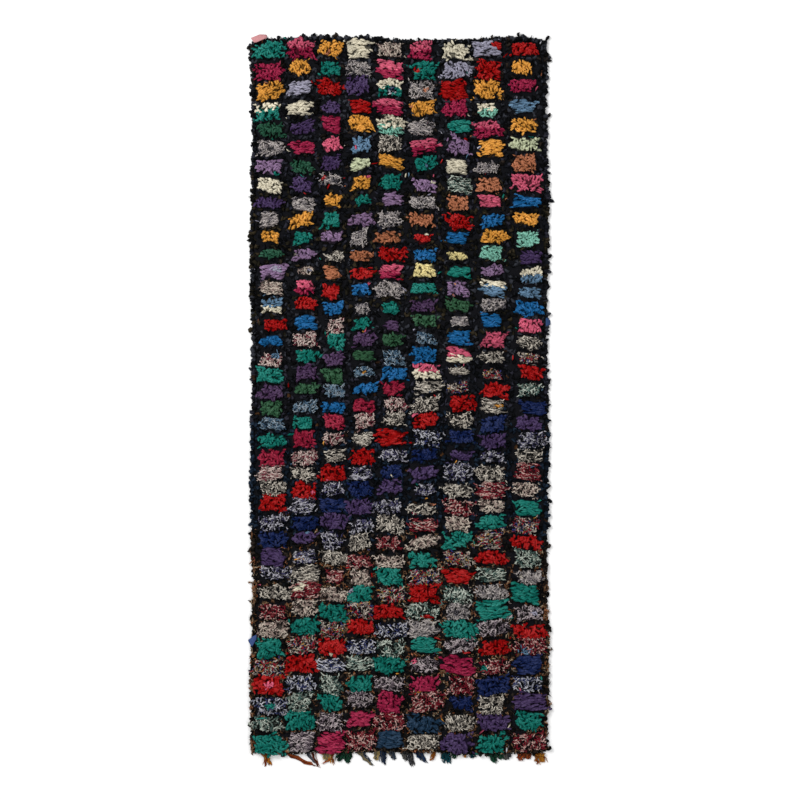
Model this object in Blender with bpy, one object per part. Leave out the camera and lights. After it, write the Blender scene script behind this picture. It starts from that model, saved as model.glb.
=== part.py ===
"""A shaggy wool and rag rug that lies flat: a lumpy check of pile tufts, rim locks and a sparse fringe."""

import math
import random

import bmesh
import bpy
from mathutils import Vector

SEED = 23

# The woven body, in metres, without its locks and fringe
BODY_WIDTH = 0.980
BODY_LENGTH = 2.367
CORNER_DROP = 0.009
RIM_HEIGHT = 0.012
GROOVE_HEIGHT = 0.016
LUMP_HEIGHT = 0.013
LUMP_SPREAD = 0.0025
JITTER = 0.003

# The check of tufts: nine columns of forty rows
COLUMN_CENTRES = (-0.430, -0.320, -0.227, -0.134, -0.038, 0.075, 0.188, 0.297, 0.407)
LEFT_BORDER = 0.005
RIGHT_BORDER = 0.018
END_BORDER = 0.006
ROWS = 40
ROW_PITCHES = (0.063, 0.052, 0.061)
SHOULDER = 0.27
ROW_WAVE = 0.004

# Locks of pile that stand out of the rim
LOCK_REACH = (0.004, 0.012)
TOP_LOCK_SHARE = 0.7
LOCK_LEAN = 0.005
LOCK_SHARE = 0.92
RAG_CLEARANCE = 0.012
# Sections of a lock: shares of its reach, lean, root width and root height
LOCK_SECTIONS = ((0.5, 0.3, 0.66, 0.75), (1.0, 1.0, 0.22, 0.30))

# The strip that carries the fringe, parted from the bottom edge of the body
GAP = 0.0003
STRIP_LEFT = -0.468
STRIP_RIGHT = 0.478
STRIP_WIDTH = 0.008
STRIP_HEIGHT = 0.006
STRIP_STEP = 0.014
STRAND_WIDTH = 0.0055
STRAND_SHORTENING = 0.14
STRAND_WANDER = 0.0012
# Sections of a strand: shares of its reach, lean, bow, root width and root height
STRAND_SECTIONS = ((0.52, 0.5, 1.0, 0.92, 0.8), (1.0, 1.0, 0.0, 0.60, 0.5))

# Fringe: first and last root, sideways lean, bow of the middle, reach below the strip, strands
TUFTS = (
    ("first", "last", "lean", "bow", "reach", "strands"),
    (-0.459, -0.449, 0.030, 0.002, 0.040, 2),
    (-0.370, -0.370, 0.118, 0.000, 0.044, 1),
    (-0.307, -0.307, 0.042, -0.004, 0.030, 1),
    (-0.255, -0.233, 0.002, 0.000, 0.025, 3),
    (-0.219, -0.219, -0.021, 0.010, 0.038, 1),
    (-0.201, -0.165, 0.000, 0.000, 0.030, 5),
    (-0.137, -0.128, 0.042, -0.002, 0.042, 2),
    (-0.079, -0.071, 0.001, 0.000, 0.026, 2),
    (-0.062, -0.053, 0.001, 0.000, 0.040, 2),
    (-0.041, -0.027, 0.012, 0.000, 0.022, 2),
    (0.014, 0.038, 0.009, -0.003, 0.041, 4),
    (0.053, 0.070, 0.020, 0.000, 0.032, 3),
    (0.113, 0.113, -0.018, 0.002, 0.028, 1),
    (0.142, 0.158, 0.010, -0.002, 0.038, 3),
    (0.177, 0.187, 0.003, 0.000, 0.014, 2),
    (0.214, 0.214, 0.002, 0.000, 0.008, 1),
    (0.238, 0.247, 0.000, 0.000, 0.009, 2),
    (0.297, 0.335, 0.010, 0.000, 0.030, 5),
    (0.347, 0.368, 0.001, 0.000, 0.016, 4),
    (0.399, 0.431, 0.002, 0.000, 0.017, 5),
    (0.456, 0.472, 0.009, 0.002, 0.032, 3),
)

# Loose rag ends at the rim: the side they leave, the middle and length of the root, the reach and thickness
RAGS = {
    "corner_rag": ("top", -0.467, 0.053, 0.014, 0.004),
    "left_rag": ("left", -0.814, 0.042, 0.013, 0.004),
    "right_rag": ("right", 0.243, 0.032, 0.011, 0.004),
}

# Principled colour and roughness
FINISHES = {
    "pile_rug": ((0.075, 0.065, 0.075), 0.95),
    "fringe_strip": ((0.110, 0.060, 0.035), 0.95),
    "corner_rag": ((0.560, 0.170, 0.240), 0.90),
    "left_rag": ((0.040, 0.095, 0.230), 0.90),
    "right_rag": ((0.050, 0.120, 0.240), 0.90),
}


def wave(along, phase):
    """The uneven run of a handwoven edge, in metres."""
    long_wave = 0.0035 * math.sin(along * math.tau / 0.74 + phase)
    short_wave = 0.0015 * math.sin(along * math.tau / 0.21 + 2.3 * phase)
    return long_wave + short_wave


def left_edge(y):
    return -BODY_WIDTH / 2 + wave(y, 0.6)


def right_edge(y):
    return BODY_WIDTH / 2 + wave(y, 2.9)


def top_edge(x):
    rounding = CORNER_DROP * abs(x / (BODY_WIDTH / 2)) ** 9
    return BODY_LENGTH / 2 + wave(x, 4.4) - rounding


def bottom_edge(x):
    return -BODY_LENGTH / 2 + wave(x, 1.7)


def column_stations():
    """Across the rug: each groove and the two shoulders of each tuft, with its share of the lump."""
    centres = COLUMN_CENTRES
    first = -BODY_WIDTH / 2 + LEFT_BORDER
    last = BODY_WIDTH / 2 - RIGHT_BORDER
    grooves = [first] + [(a + b) / 2 for a, b in zip(centres, centres[1:])] + [last]
    stations = [(-BODY_WIDTH / 2, 0.0)]
    for left, right in zip(grooves, grooves[1:]):
        stations.append((left, 0.0))
        stations.append((left + SHOULDER * (right - left), 1.0))
        stations.append((right - SHOULDER * (right - left), 1.0))
    stations.append((last, 0.0))
    stations.append((BODY_WIDTH / 2, 0.0))
    return stations


def row_stations():
    """Down the rug: each groove and crest; the rows are closest in the middle."""
    top, middle, bottom = ROW_PITCHES
    pitches = []
    for row in range(ROWS):
        share = row / (ROWS - 1)
        blend = abs(2 * share - 1) ** 1.4
        pitches.append(middle + (top - middle if share < 0.5 else bottom - middle) * blend)
    scale = (BODY_LENGTH - 2 * END_BORDER) / sum(pitches)
    y = BODY_LENGTH / 2
    stations = [(y, 0.0)]
    y -= END_BORDER
    for pitch in pitches:
        stations.append((y, 0.0))
        stations.append((y - pitch * scale / 2, 1.0))
        y -= pitch * scale
    stations.append((y, 0.0))
    stations.append((-BODY_LENGTH / 2, 0.0))
    return stations


def on_outline(x, y):
    """Bends the straight check onto the wavy outline."""
    across = x / BODY_WIDTH + 0.5
    down = 0.5 - y / BODY_LENGTH
    left = left_edge(y) + BODY_WIDTH / 2
    right = right_edge(y) - BODY_WIDTH / 2
    x += left * (1 - across) + right * across
    top = top_edge(x) - BODY_LENGTH / 2
    bottom = bottom_edge(x) + BODY_LENGTH / 2
    return x, y + top * (1 - down) + bottom * down


def pile_top(bm, rng):
    """The lumpy top: one raised lump for each tuft, and grooves between them."""
    columns = column_stations()
    rows = row_stations()
    grid = []
    for j, (y, row_lump) in enumerate(rows):
        line = []
        for i, (x, column_lump) in enumerate(columns):
            rim = i in (0, len(columns) - 1) or j in (0, len(rows) - 1)
            px, py = on_outline(x, y)
            z = RIM_HEIGHT
            if not rim:
                px += rng.uniform(-JITTER, JITTER)
                py += rng.uniform(-JITTER, JITTER) + ROW_WAVE * math.sin(x * 9.0 + y * 2.6)
                lump = LUMP_HEIGHT * row_lump * column_lump
                z = GROOVE_HEIGHT + lump + rng.uniform(-LUMP_SPREAD, LUMP_SPREAD)
            line.append(bm.verts.new((px, py, z)))
        grid.append(line)
    for upper, lower in zip(grid, grid[1:]):
        for i in range(len(columns) - 1):
            bm.faces.new((lower[i], lower[i + 1], upper[i + 1], upper[i]))


def outward(point):
    """The side of the rug that a rim point lies on, and the way out of it."""
    reaches = {
        "left": (-point.x / (BODY_WIDTH / 2), Vector((-1, 0, 0))),
        "right": (point.x / (BODY_WIDTH / 2), Vector((1, 0, 0))),
        "top": (point.y / (BODY_LENGTH / 2), Vector((0, 1, 0))),
        "bottom": (-point.y / (BODY_LENGTH / 2), Vector((0, -1, 0))),
    }
    side = max(reaches, key=lambda name: reaches[name][0])
    return side, reaches[side][1]


def grow(bm, face, stations):
    """Extrudes one side face along stations of offset, width share and height share, level on the floor."""
    roots = [vert.co.copy() for vert in face.verts]
    middle = face.calc_center_median()
    middle.z = 0
    for offset, width, height in stations:
        face = bmesh.ops.extrude_discrete_faces(bm, faces=[face])["faces"][0]
        for vert, root in zip(face.verts, roots):
            flat = Vector((root.x, root.y, 0)) - middle
            vert.co = middle + offset + flat * width
            vert.co.z = root.z * height


def clear_of_rags(side, point):
    """Whether a rim point leaves room for the loose rag ends."""
    for rag_side, middle, length, _, _ in RAGS.values():
        along = point.x if side in ("top", "bottom") else point.y
        if side == rag_side and abs(along - middle) < length / 2 + RAG_CLEARANCE:
            return False
    return True


def rim_locks(bm, rng):
    """Tapered locks out of every second side face, on the left, the right and the top."""
    sides = sorted(
        (face for face in bm.faces if abs(face.normal.z) < 0.1),
        key=lambda face: math.atan2(*face.calc_center_median().yx),
    )
    for face in sides[::2]:
        point = face.calc_center_median()
        side, out = outward(point)
        if side == "bottom" or not clear_of_rags(side, point) or rng.random() > LOCK_SHARE:
            continue
        reach = rng.uniform(*LOCK_REACH) * (TOP_LOCK_SHARE if side == "top" else 1.0)
        lean = out.cross(Vector((0, 0, 1))) * rng.uniform(-LOCK_LEAN, LOCK_LEAN)
        stations = [(out * reach * a + lean * b, width, height) for a, b, width, height in LOCK_SECTIONS]
        grow(bm, face, stations)


def finish(name, bm):
    """Makes the named object from a closed mesh, with its material."""
    bmesh.ops.recalc_face_normals(bm, faces=bm.faces[:])
    mesh = bpy.data.meshes.new(name)
    bm.to_mesh(mesh)
    bm.free()
    material = bpy.data.materials.new(name)
    material.use_nodes = True
    shader = material.node_tree.nodes["Principled BSDF"]
    colour, roughness = FINISHES[name]
    shader.inputs["Base Color"].default_value = (*colour, 1)
    shader.inputs["Roughness"].default_value = roughness
    shader.inputs["Metallic"].default_value = 0
    mesh.materials.append(material)
    thing = bpy.data.objects.new(name, mesh)
    bpy.context.collection.objects.link(thing)
    return thing


def pile_rug():
    """The body of the rug: a lumpy slab with a flat underside and locks at its rim."""
    rng = random.Random(SEED)
    bm = bmesh.new()
    pile_top(bm, rng)
    rim = [edge for edge in bm.edges if edge.is_boundary]
    bmesh.ops.subdivide_edges(bm, edges=rim, cuts=1)
    rim = [edge for edge in bm.edges if edge.is_boundary]
    for vert in {vert for edge in rim for vert in edge.verts}:
        if outward(vert.co)[0] == "bottom":
            vert.co.y = bottom_edge(vert.co.x)
    skirt = bmesh.ops.extrude_edge_only(bm, edges=rim)["geom"]
    for vert in skirt:
        if isinstance(vert, bmesh.types.BMVert):
            vert.co.z = 0
    bmesh.ops.edgeloop_fill(bm, edges=[edge for edge in bm.edges if edge.is_boundary])
    bmesh.ops.recalc_face_normals(bm, faces=bm.faces[:])
    bm.normal_update()
    rim_locks(bm, rng)
    return finish("pile_rug", bm)


def strand_roots():
    """Every fringe strand: where it leaves the strip, and how it runs."""
    columns = TUFTS[0]
    strands = []
    for row in TUFTS[1:]:
        tuft = dict(zip(columns, row))
        count = tuft["strands"]
        for index in range(count):
            share = index / (count - 1) if count > 1 else 0.0
            root = tuft["first"] + share * (tuft["last"] - tuft["first"])
            strands.append((root, tuft))
    return strands


def fringe_strip():
    """A narrow strip along the bottom edge, with the loose strands that hang out of it onto the floor."""
    rng = random.Random(SEED + 1)
    half = STRAND_WIDTH / 2
    strands = strand_roots()
    steps = round((STRIP_RIGHT - STRIP_LEFT) / STRIP_STEP)
    evenly = [STRIP_LEFT + (STRIP_RIGHT - STRIP_LEFT) * k / steps for k in range(steps + 1)]
    stations = [x for x in evenly if all(abs(x - root) > STRAND_WIDTH for root, _ in strands)]
    for root, _ in strands:
        stations += [root - half, root + half]
    stations.sort()
    bm = bmesh.new()
    rings = []
    for x in stations:
        back = bottom_edge(x) - GAP
        front = back - STRIP_WIDTH
        corners = ((back, 0), (front, 0), (front, STRIP_HEIGHT), (back, STRIP_HEIGHT))
        rings.append([bm.verts.new((x, y, z)) for y, z in corners])
    fronts = {}
    for x, ring, following in zip(stations, rings, rings[1:]):
        for k in range(4):
            face = bm.faces.new((ring[k], ring[k - 1], following[k - 1], following[k]))
            if k == 2:
                fronts[x] = face
    bm.faces.new(rings[0])
    bm.faces.new(rings[-1][::-1])
    bmesh.ops.recalc_face_normals(bm, faces=bm.faces[:])
    for root, tuft in strands:
        reach = tuft["reach"] * rng.uniform(1 - STRAND_SHORTENING, 1.0)
        lean = tuft["lean"] + rng.uniform(-STRAND_WANDER, STRAND_WANDER)
        stations = []
        for down, across, bowed, width, height in STRAND_SECTIONS:
            offset = Vector((lean * across + tuft["bow"] * bowed, -reach * down, 0))
            stations.append((offset, width, height))
        grow(bm, fronts[root - half], stations)
    return finish("fringe_strip", bm)


def rag_outline(side, middle, length, reach):
    """A rag end seen from above: its root beside the rim, and a lopsided point."""
    profile = ((-0.50, 0.0), (-0.46, 0.55), (-0.12, 1.0), (0.22, 0.72), (0.50, 0.42), (0.46, 0.0))
    samples = [middle + length * (k / 10 - 0.5) for k in range(11)]
    if side == "top":
        edge = max(top_edge(x) for x in samples) + GAP
        return [(middle + length * a, edge + reach * b) for a, b in profile]
    if side == "left":
        edge = min(left_edge(y) for y in samples) - GAP
        return [(edge - reach * b, middle + length * a) for a, b in profile]
    edge = max(right_edge(y) for y in samples) + GAP
    return [(edge + reach * b, middle + length * a) for a, b in profile]


def rag_end(name):
    """A loose end of rag that pokes out of the rim and lies on the floor."""
    side, middle, length, reach, thickness = RAGS[name]
    bm = bmesh.new()
    outline = [bm.verts.new((x, y, 0)) for x, y in rag_outline(side, middle, length, reach)]
    face = bm.faces.new(outline)
    raised = bmesh.ops.extrude_face_region(bm, geom=[face])["geom"]
    upper = [vert for vert in raised if isinstance(vert, bmesh.types.BMVert)]
    bmesh.ops.translate(bm, verts=upper, vec=(0, 0, thickness))
    return finish(name, bm)


def centre_on_floor(things):
    """Moves the whole rug so that its bounding box is centred over the origin."""
    corners = [vert.co for thing in things for vert in thing.data.vertices]
    middle_x = (min(c.x for c in corners) + max(c.x for c in corners)) / 2
    middle_y = (min(c.y for c in corners) + max(c.y for c in corners)) / 2
    for thing in things:
        for vert in thing.data.vertices:
            vert.co.x -= middle_x
            vert.co.y -= middle_y


for old in list(bpy.data.objects):
    bpy.data.objects.remove(old)
rug = [pile_rug(), fringe_strip()] + [rag_end(name) for name in RAGS]
centre_on_floor(rug)
for piece in rug:
    print(piece.name, sum(len(face.vertices) - 2 for face in piece.data.polygons), "triangles")
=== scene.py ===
# %% [markdown]
# A shaggy runner, handwoven in wool and rags, lying flat and seen from straight above.
# The weaver ties short lengths of yarn round the warps in rows: nine coloured tufts across on a
# near-black pile. Every yarn here is a real small mesh, so the ragged edges of the pile come from shape,
# its dark crevices from shape and from painted shade on the yarns' roots and the root mass below, and
# only the fibres on each yarn come from bump.

# %% Load the imported rug
import math

import bmesh
import bpy
import numpy as np
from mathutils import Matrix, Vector


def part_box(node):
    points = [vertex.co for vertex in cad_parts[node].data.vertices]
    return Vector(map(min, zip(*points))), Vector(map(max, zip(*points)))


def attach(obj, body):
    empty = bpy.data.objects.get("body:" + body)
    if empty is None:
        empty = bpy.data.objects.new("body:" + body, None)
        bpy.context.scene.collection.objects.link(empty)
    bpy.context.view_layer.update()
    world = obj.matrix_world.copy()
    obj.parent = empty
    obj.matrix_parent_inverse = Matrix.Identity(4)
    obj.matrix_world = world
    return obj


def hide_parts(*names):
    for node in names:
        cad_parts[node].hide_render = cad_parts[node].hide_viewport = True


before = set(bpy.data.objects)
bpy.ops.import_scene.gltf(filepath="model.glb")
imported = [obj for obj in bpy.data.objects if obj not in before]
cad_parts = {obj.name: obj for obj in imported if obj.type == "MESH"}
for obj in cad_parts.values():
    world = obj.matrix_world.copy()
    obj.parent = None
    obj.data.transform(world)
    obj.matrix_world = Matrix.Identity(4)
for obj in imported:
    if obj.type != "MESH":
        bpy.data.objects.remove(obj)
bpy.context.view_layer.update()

# %% [markdown]
# The camera looks straight down from far off through a long lens, as the photo was taken, so the
# edges stay parallel. Its place follows from the width of floor that the frame takes in.

# %% Camera
FRAME_WIDTH = 2.656
FRAME_CENTRE = (0.0017, 0.0033)
LENS = 85.0
SENSOR = 36.0
eye = bpy.data.cameras.new("eye")
eye.lens = LENS
eye.sensor_width = SENSOR
camera = bpy.data.objects.new("eye", eye)
camera.location = (*FRAME_CENTRE, FRAME_WIDTH * LENS / SENSOR)
bpy.context.collection.objects.link(camera)
bpy.context.scene.camera = camera
print("camera height", round(camera.location.z, 3), "m")

# %% [markdown]
# Pile shows its relief only if light comes a little from one side. One broad lamp does that, and
# a pale sky fills the crevices, so nothing turns hard or glossy.

# %% Light and view
world = bpy.data.worlds.new("pale_sky")
world.use_nodes = True
SKY = 0.72
world.node_tree.nodes["Background"].inputs["Color"].default_value = (1, 1, 1, 1)
world.node_tree.nodes["Background"].inputs["Strength"].default_value = SKY
bpy.context.scene.world = world
bpy.context.scene.view_settings.view_transform = "Standard"


def lamp(name, place, size, power):
    """A square soft lamp that faces the middle of the rug."""
    light = bpy.data.lights.new(name, "AREA")
    light.size = size
    light.energy = power
    thing = bpy.data.objects.new(name, light)
    thing.location = place
    thing.rotation_euler = (-Vector(place)).to_track_quat("-Z", "Y").to_euler()
    bpy.context.collection.objects.link(thing)


lamp("window", (-2.6, 2.4, 4.2), 2.2, 210)
lamp("fill", (2.8, -1.8, 4.6), 3.0, 60)
print("sky", SKY, "and two lamps")

# %% [markdown]
# The solids and the yarns share one layout. The body's edges wander a few millimetres, as they do
# on a narrow loom, and the rows are closest in the middle. These are the same named sizes as the
# solids have, so the tufts sit on the solid's own lumps.

# %% Layout of the body
BODY_WIDTH = 0.980
BODY_LENGTH = 2.367
CORNER_DROP = 0.009
COLUMN_CENTRES = np.array((-0.430, -0.320, -0.227, -0.134, -0.038, 0.075, 0.188, 0.297, 0.407))
LEFT_BORDER = 0.005
RIGHT_BORDER = 0.018
END_BORDER = 0.006
ROWS = 40
COLUMNS = len(COLUMN_CENTRES)
ROW_PITCHES = (0.063, 0.052, 0.061)
ROW_WAVE = 0.004
STRIP_LEFT = -0.468


def wave(along, phase):
    long_wave = 0.0035 * np.sin(along * math.tau / 0.74 + phase)
    return long_wave + 0.0015 * np.sin(along * math.tau / 0.21 + 2.3 * phase)


def left_edge(y):
    return -BODY_WIDTH / 2 + wave(y, 0.6)


def right_edge(y):
    return BODY_WIDTH / 2 + wave(y, 2.9)


def top_edge(x):
    return BODY_LENGTH / 2 + wave(x, 4.4) - CORNER_DROP * abs(x / (BODY_WIDTH / 2)) ** 9


def bottom_edge(x):
    return -BODY_LENGTH / 2 + wave(x, 1.7)


across_body = np.linspace(-BODY_WIDTH / 2, BODY_WIDTH / 2, 400)
shift_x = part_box("fringe_strip")[0].x - STRIP_LEFT
shift_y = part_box("pile_rug")[0].y - bottom_edge(across_body).min()
print("the body sits at", round(shift_x, 4), round(shift_y, 4))


# %% Bending the straight check onto the body
def on_body(x, y):
    """Straight places across and along the check, moved onto the wandering outline."""
    across = x / BODY_WIDTH + 0.5
    down = 0.5 - y / BODY_LENGTH
    left = left_edge(y) + BODY_WIDTH / 2
    right = right_edge(y) - BODY_WIDTH / 2
    x = x + left * (1 - across) + right * across
    y = y + (top_edge(x) - BODY_LENGTH / 2) * (1 - down) + (bottom_edge(x) + BODY_LENGTH / 2) * down
    return x + shift_x, y + shift_y


def row_lines():
    """The straight line above each row of tufts, and the last one's below."""
    share = np.arange(ROWS) / (ROWS - 1)
    ends = np.where(share < 0.5, ROW_PITCHES[0], ROW_PITCHES[2])
    pitches = ROW_PITCHES[1] + (ends - ROW_PITCHES[1]) * abs(2 * share - 1) ** 1.4
    pitches *= (BODY_LENGTH - 2 * END_BORDER) / pitches.sum()
    return BODY_LENGTH / 2 - END_BORDER - np.concatenate([[0], np.cumsum(pitches)])


lines = row_lines()
grooves = np.concatenate([
    [-BODY_WIDTH / 2 + LEFT_BORDER],
    (COLUMN_CENTRES[1:] + COLUMN_CENTRES[:-1]) / 2,
    [BODY_WIDTH / 2 - RIGHT_BORDER],
])
print("rows", len(lines) - 1, "columns", len(grooves) - 1)


def row_wander(x, y):
    """The slow rise and fall of a row across the body."""
    return ROW_WAVE * np.sin(x * 9.0 + y * 2.6)


# %% [markdown]
# Shader maths reads best as arithmetic. This class wraps a socket, and each operator adds the Math
# node that does it. Every other node comes from its one method, node.


# %% Writing shaders as expressions
class Field:
    """A shader socket that can be added, subtracted and multiplied."""

    def __init__(self, socket):
        self.socket = socket
        self.tree = socket.id_data

    def node(self, kind, settings, inputs, output=0):
        """Adds a node, sets it up, fills its sockets and gives back one of its outputs."""
        made = self.tree.nodes.new("ShaderNode" + kind)
        for name, value in settings.items():
            if name == "stops":
                for place, colour in value[2:]:
                    made.color_ramp.elements.new(place).color = colour
                for element, (place, colour) in zip(made.color_ramp.elements, sorted(value, key=lambda s: s[0])):
                    element.position = place
                    element.color = colour
            elif name == "ramp":
                made.color_ramp.interpolation = value
            else:
                setattr(made, name, value)
        for key, value in inputs.items():
            if isinstance(value, Field):
                self.tree.links.new(value.socket, made.inputs[key])
            else:
                made.inputs[key].default_value = value
        return Field(made.outputs[output])

    def maths(self, operation, first, second):
        return self.node("Math", {"operation": operation}, {0: first, 1: second})

    def __add__(self, other):
        return self.maths("ADD", self, other)

    __radd__ = __add__

    def __sub__(self, other):
        return self.maths("SUBTRACT", self, other)

    def __rsub__(self, other):
        return self.maths("SUBTRACT", other, self)

    def __mul__(self, other):
        return self.maths("MULTIPLY", self, other)

    __rmul__ = __mul__

    def __mod__(self, other):
        return self.maths("MODULO", self, other)

    def feeds(self, shader, name):
        self.tree.links.new(self.socket, shader.inputs[name])


# %% Colours
def linear(hex_colour):
    """A colour written as on a dyer's card, in the linear values that shaders use."""
    parts = [int(hex_colour[k:k + 2], 16) / 255 for k in (1, 3, 5)]
    return [v / 12.92 if v <= 0.04045 else ((v + 0.055) / 1.055) ** 2.4 for v in parts]


def shaded(colour, factor):
    return (*[min(1.0, v * factor) for v in colour], 1.0)


# %% [markdown]
# Two kinds of yarn were used. Plain lots are one dye, a little uneven. Marled lots are plied or
# knitted from threads of several colours, and read as crinkled light and dark bits.

# %% Yarn lots
PLAIN = {
    "teal": "#0E6C61",
    "crimson": "#8E1A3E",
    "wine": "#881732",
    "mustard": "#CA8C38",
    "cream": "#CAC2AC",
    "lavender": "#878595",
    "pink": "#B94F68",
    "red": "#960606",
    "purple": "#3F2E53",
    "plum": "#46304F",
    "mauve": "#7A6180",
    "green": "#24503C",
    "leaf": "#2C5238",
    "sky": "#587690",
    "blue": "#155A8E",
    "celadon": "#B2B898",
    "rust": "#9E6244",
    "butter": "#CDBE84",
    "mint": "#70A896",
    "navy": "#0B1C48",
    "denim": "#193249",
}
MARLED = {
    "silver": (("#B8B0AC", 0.42), ("#989090", 0.28), ("#68646A", 0.14), ("#2A2A2E", 0.16)),
    "sky_marl": (("#929EA8", 0.24), ("#6C8496", 0.30), ("#43607A", 0.24), ("#151C24", 0.22)),
    "bone": (("#C8C0B3", 0.34), ("#9C948A", 0.22), ("#625C56", 0.13), ("#18171A", 0.31)),
    "lavender_marl": (("#B2B0B8", 0.28), ("#74727F", 0.15), ("#4C4870", 0.13), ("#12141B", 0.44)),
    "navy_marl": (("#BABAC2", 0.36), ("#7C7E8C", 0.12), ("#363E70", 0.13), ("#12141A", 0.39)),
    "red_marl": (("#C4A098", 0.26), ("#8E4A4C", 0.14), ("#7C1C2A", 0.32), ("#190F12", 0.28)),
    "rose_marl": (("#CCB8B0", 0.40), ("#A48682", 0.18), ("#863A48", 0.18), ("#1C1517", 0.24)),
    "cream_marl": (("#CABCAE", 0.44), ("#A8928A", 0.24), ("#70605A", 0.12), ("#261F1F", 0.20)),
    "lilac_marl": (("#B2A6A8", 0.36), ("#82747C", 0.20), ("#544A52", 0.14), ("#1B181B", 0.30)),
    "celadon_marl": (("#B6BEB2", 0.34), ("#7C8C82", 0.16), ("#4C6A64", 0.18), ("#161918", 0.32)),
    "multi_marl": (
        ("#B4A89C", 0.24), ("#7C7470", 0.10), ("#9C2834", 0.16), ("#25624E", 0.06),
        ("#B8863E", 0.08), ("#404484", 0.09), ("#15131A", 0.27),
    ),
}
GROUND = {
    "coal": (("#08090B", 0.34), ("#191A1F", 0.33), ("#32343B", 0.33)),
    "ink": (("#07080A", 0.36), ("#15171D", 0.34), ("#2B2B35", 0.30)),
    "moss": (("#0D0C09", 0.36), ("#211E15", 0.36), ("#342D20", 0.28)),
    "slate": (("#070A10", 0.34), ("#101924", 0.34), ("#1E2B3B", 0.32)),
    "soot": (("#090807", 0.38), ("#181411", 0.34), ("#2C2520", 0.28)),
    "bark": (("#2E1E13", 0.50), ("#48301C", 0.25), ("#15100C", 0.25)),
    "brown_marl": (
        ("#5E412D", 0.22), ("#84664C", 0.18), ("#96502A", 0.09), ("#AC9A80", 0.12), ("#1A1410", 0.39),
    ),
}
print(len(PLAIN), "plain lots,", len(MARLED), "marled lots,", len(GROUND), "ground lots")


# %% [markdown]
# Wool scatters light softly and has no clear shine, so it is rough with a faint sheen. A yarn is
# painted darker at its root, as painted shade where less light gets in, and its fibres make a fine
# grain along it. A plain lot runs from its dye in painted shade to lighter, greyer tips, partly wear
# and partly painted highlight, and a marled one jumps between its threads.

# %% Wool
WOOL_ROUGHNESS = 0.92
WOOL_SPECULAR = 0.06
FIBRE_SCALE = 420.0
THREAD_SCALE = 130.0


def stops_of(threads):
    """Ramp stops that give each thread its share of the yarn."""
    stops = []
    place = 0.0
    for hex_colour, share in threads:
        stops.append((place, (*linear(hex_colour), 1.0)))
        place += share
    return stops


def plain_stops(hex_colour):
    """Ramp stops from the dye in painted shade to tips that are lighter and a little greyer, partly as wear and
    partly as painted highlight.
    """
    dye = linear(hex_colour)
    worn_and_lit = [1.38 * v + 0.028 for v in dye]
    return [(0.0, shaded(dye, 0.18)), (1.0, shaded(worn_and_lit, 1.0)), (0.5, shaded(dye, 0.76))]


def wool(name, stops, speckle=0.0, marled=True):
    """The finish of one lot of yarn, from its ramp; speckle is how often a yarn changes thread."""
    material = bpy.data.materials.new(name)
    material.use_nodes = True
    shader = material.node_tree.nodes["Principled BSDF"]
    shader.inputs["Roughness"].default_value = WOOL_ROUGHNESS
    shader.inputs["Specular IOR Level"].default_value = WOOL_SPECULAR
    start = Field(shader.outputs[0])
    place = start.node("TexCoord", {}, {}, output=3)
    tint = start.node("Attribute", {"attribute_name": "tint"}, {}, output=2)
    along = start.node("Attribute", {"attribute_name": "along"}, {}, output=2)
    grain = start.node("TexNoise", {}, {"Vector": place, "Scale": FIBRE_SCALE, "Detail": 3.0})
    if marled:
        threads = start.node("TexNoise", {}, {"Vector": place, "Scale": THREAD_SCALE, "Detail": 1.0})
        choice = (tint + threads * speckle) % 1.0
        dye = start.node("ValToRGB", {"stops": stops, "ramp": "CONSTANT"}, {"Fac": choice})
        # Painted shade: along darkens each yarn towards its root; grain adds the fibres and tint a per-yarn tone.
        dim = along * 0.62 + grain * 0.55 + tint * 0.25 - 0.06
        colour = start.node(
            "Mix", {"data_type": "RGBA", "blend_type": "MULTIPLY"},
            {"Factor": 1.0, 6: dye, 7: dim}, output=2,
        )
    else:
        # Painted shade and highlight: along runs each yarn from the shaded foot of the ramp towards its lighter
        # tip.
        choice = tint * 0.66 + along * 0.40 + grain * 0.70 - 0.37
        colour = start.node("ValToRGB", {"stops": stops}, {"Fac": choice})
    colour.feeds(shader, "Base Color")
    bump = start.node("Bump", {}, {"Strength": 0.4, "Distance": 0.0008, "Height": grain})
    bump.feeds(shader, "Normal")
    return material


MARL_SPECKLE = 0.68
GROUND_SPECKLE = 0.20
SPECKLES = {**dict.fromkeys(GROUND, GROUND_SPECKLE), "multi_marl": 0.40, "brown_marl": 0.50}
finishes = {name: wool(name, plain_stops(dye), marled=False) for name, dye in PLAIN.items()}
for name, threads in {**MARLED, **GROUND}.items():
    finishes[name] = wool(name, stops_of(threads), SPECKLES.get(name, MARL_SPECKLE))
print(len(finishes), "wool finishes")

# %% [markdown]
# The weaver moved each dye one tuft to the left in every new row, so colours run along slanting
# lines. One list gives the lots of each line, counted as row plus column, from its low left end.
# A number is the column where the next lot starts, as when a lot ran out, and two lots with a
# slash make a tuft of two bands.

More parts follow.
